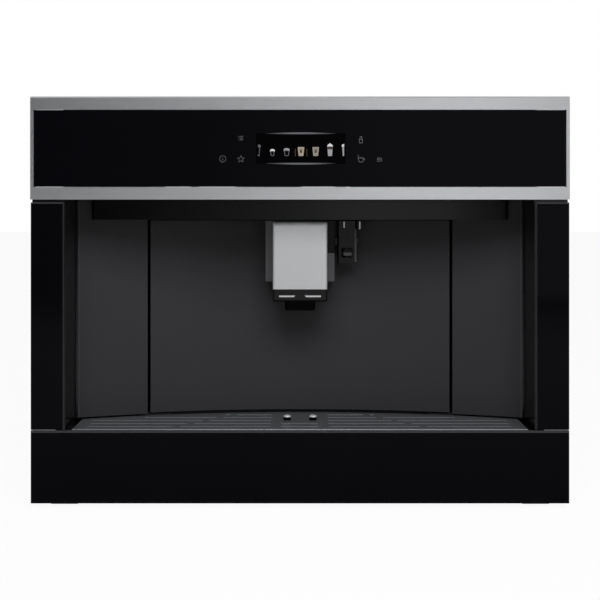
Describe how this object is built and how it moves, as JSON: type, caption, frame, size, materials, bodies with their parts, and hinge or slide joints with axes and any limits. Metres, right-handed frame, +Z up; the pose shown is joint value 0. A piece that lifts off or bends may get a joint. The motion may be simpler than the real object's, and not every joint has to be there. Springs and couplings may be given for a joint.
{
  "type": "built-in coffee machine",
  "caption": "Built-in coffee machine with a glass control front, a lit niche with sliding spout and cup grid, on pull-out cabinet rails.",
  "frame": {"origin": "on the cabinet's shelf, below the middle of the machine's width and depth", "axes": "+X to the right as seen from the front, +Y to the back, +Z up; the front faces -Y"},
  "size_m": [0.595, 0.413, 0.455],
  "materials": {
    "brushed_steel_front": "satin brushed stainless steel, grain along the width",
    "spout_steel": "fine satin brushed stainless steel",
    "zinc_sheet": "galvanised steel sheet",
    "rail_steel": "zinc-plated rolled steel",
    "bracket_paint": "dark powder-coated steel",
    "pin_steel": "ground steel",
    "screw_steel": "zinc-plated steel screw",
    "grid_steel": "polished stainless steel",
    "black_glass": "black-backed gloss glass",
    "display_board": "display and circuit board, solder-masked",
    "niche_plastic": "satin dark grey moulded plastic",
    "black_gloss": "gloss black moulded plastic",
    "black_plastic": "fine textured black moulded plastic",
    "grey_plastic": "grey moulded plastic",
    "tray_plastic": "black glass-filled plastic, wipe-clean",
    "float_plastic": "orange-red float plastic",
    "tank_plastic": "clear grey-tinted moulded plastic",
    "hopper_plastic": "smoky moulded plastic",
    "boiler_metal": "die-cast aluminium heater block",
    "motor_metal": "motor can, dull zinc",
    "pump_metal": "pump body with a brass-coloured coil cover",
    "burr_ceramic": "white ceramic burr",
    "board_green": "circuit board with soldered parts",
    "hose_silicone": "milky silicone hose",
    "foot_rubber": "black rubber foot",
    "switch_plastic": "gloss black rocker"
  },
  "bodies": {
    "cabinet_rails": {"cabinet_rail_left": "bracket_paint", "cabinet_rail_right": "bracket_paint"},
    "middle_rail_left": {"middle_rail_left": "rail_steel"},
    "middle_rail_right": {"middle_rail_right": "rail_steel"},
    "machine": {"machine_rail_left": "rail_steel", "machine_rail_right": "rail_steel", "base_pan": "zinc_sheet", "side_panel_left": "zinc_sheet", "side_panel_right": "zinc_sheet", "rear_panel": "zinc_sheet", "top_panel": "zinc_sheet", "bench_feet": "foot_rubber", "panel_screws": "screw_steel", "power_inlet": "black_plastic", "control_frame": "brushed_steel_front", "control_glass": "black_glass", "display_module": "display_board", "column_glass_left": "black_glass", "column_glass_right": "black_glass", "niche_side_left": "niche_plastic", "niche_side_right": "niche_plastic", "niche_ceiling": "black_plastic", "visor_bar": "black_gloss", "service_bay": "black_plastic", "door_pins": "pin_steel", "brew_frame": "black_plastic", "brew_chamber": "grey_plastic", "brew_drive": "black_plastic", "grinder_housing": "grey_plastic", "grinder_motor": "motor_metal", "bean_hopper": "hopper_plastic", "powder_funnel": "black_plastic", "tank_dock": "black_plastic", "pump": "pump_metal", "coffee_boiler": "boiler_metal", "steam_boiler": "boiler_metal", "power_board": "board_green", "water_hoses": "hose_silicone", "drawer_runners": "grey_plastic"},
    "drawer": {"bottom_glass": "black_glass", "drawer_front": "black_plastic", "drip_tray": "tray_plastic", "grounds_container": "tray_plastic"},
    "cup_grid": {"cup_grid": "grid_steel"},
    "tray_float": {"tray_float": "float_plastic"},
    "service_door": {"service_door": "niche_plastic", "spout_carrier": "black_gloss"},
    "coffee_spout": {"spout_cover": "spout_steel", "spout_body": "black_gloss"},
    "hot_water_spout": {"hot_water_spout": "black_gloss"},
    "release_button_left": {"release_button_left": "black_gloss"},
    "release_button_right": {"release_button_right": "black_gloss"},
    "brew_piston": {"brew_piston": "grey_plastic"},
    "grinder_burr": {"grinder_burr": "burr_ceramic"},
    "bean_lid": {"bean_lid": "black_plastic"},
    "powder_lid": {"powder_lid": "black_plastic"},
    "grind_knob": {"grind_knob": "black_plastic"},
    "water_tank": {"water_tank": "tank_plastic", "tank_lid": "black_plastic"},
    "mains_switch": {"mains_switch": "switch_plastic"}
  },
  "joints": [
    {"name": "machine_slide", "type": "slide", "parent": "cabinet_rails", "child": "machine", "axis": [0, -1, 0], "range_m": [0, 0.35]},
    {"name": "middle_rail_left_slide", "type": "slide", "parent": "cabinet_rails", "child": "middle_rail_left", "axis": [0, -1, 0], "range_m": [0, 0.175]},
    {"name": "middle_rail_right_slide", "type": "slide", "parent": "cabinet_rails", "child": "middle_rail_right", "axis": [0, -1, 0], "range_m": [0, 0.175]},
    {"name": "drawer_slide", "type": "slide", "parent": "machine", "child": "drawer", "axis": [0, -1, 0], "range_m": [0, 0.22]},
    {"name": "cup_grid_lift", "type": "slide", "parent": "drawer", "child": "cup_grid", "axis": [0, 0, 1], "range_m": [0, 0.03]},
    {"name": "float_rise", "type": "slide", "parent": "drawer", "child": "tray_float", "axis": [0, 0, 1], "range_m": [0, 0.008]},
    {"name": "service_door_hinge", "type": "hinge", "parent": "machine", "child": "service_door", "pos_m": [-0.17261, -0.1033, 0.204], "axis": [0, 0, 1], "range_deg": [-90, 0]},
    {"name": "coffee_spout_height", "type": "slide", "parent": "service_door", "child": "coffee_spout", "axis": [0, 0, -1], "range_m": [0, 0.055]},
    {"name": "hot_water_spout_pull", "type": "slide", "parent": "service_door", "child": "hot_water_spout", "axis": [0, -1, 0], "range_m": [0, 0.03]},
    {"name": "release_button_left_press", "type": "slide", "parent": "hot_water_spout", "child": "release_button_left", "axis": [1, 0, 0], "range_m": [0, 0.0015], "stiffness_N_per_m": 400},
    {"name": "release_button_right_press", "type": "slide", "parent": "hot_water_spout", "child": "release_button_right", "axis": [-1, 0, 0], "range_m": [0, 0.0015], "stiffness_N_per_m": 400},
    {"name": "brew_piston_stroke", "type": "slide", "parent": "machine", "child": "brew_piston", "axis": [0, 0, 1], "range_m": [0, 0.038]},
    {"name": "grinder_burr_spin", "type": "hinge", "parent": "machine", "child": "grinder_burr", "pos_m": [0.095, 0.112, 0.323], "axis": [0, 0, 1], "continuous": true},
    {"name": "bean_lid_hinge", "type": "hinge", "parent": "machine", "child": "bean_lid", "pos_m": [0.095, 0.1915, 0.451], "axis": [-1, 0, 0], "range_deg": [0, 95]},
    {"name": "powder_lid_hinge", "type": "hinge", "parent": "machine", "child": "powder_lid", "pos_m": [-0.02, 0.0325, 0.451], "axis": [-1, 0, 0], "range_deg": [0, 95]},
    {"name": "grind_knob_turn", "type": "hinge", "parent": "machine", "child": "grind_knob", "pos_m": [0.195, 0.06, 0.45], "axis": [0, 0, 1], "range_deg": [-120, 120]},
    {"name": "water_tank_lift", "type": "slide", "parent": "machine", "child": "water_tank", "axis": [0, 0, 1], "range_m": [0, 0.19]},
    {"name": "mains_switch_tilt", "type": "hinge", "parent": "machine", "child": "mains_switch", "pos_m": [0.15, 0.2013, 0.126], "axis": [-1, 0, 0], "range_deg": [0, 12]}
  ],
  "couplings": [
    {"joint": "middle_rail_left_slide", "follows": "machine_slide", "ratio": 0.5},
    {"joint": "middle_rail_right_slide", "follows": "machine_slide", "ratio": 0.5}
  ]
}
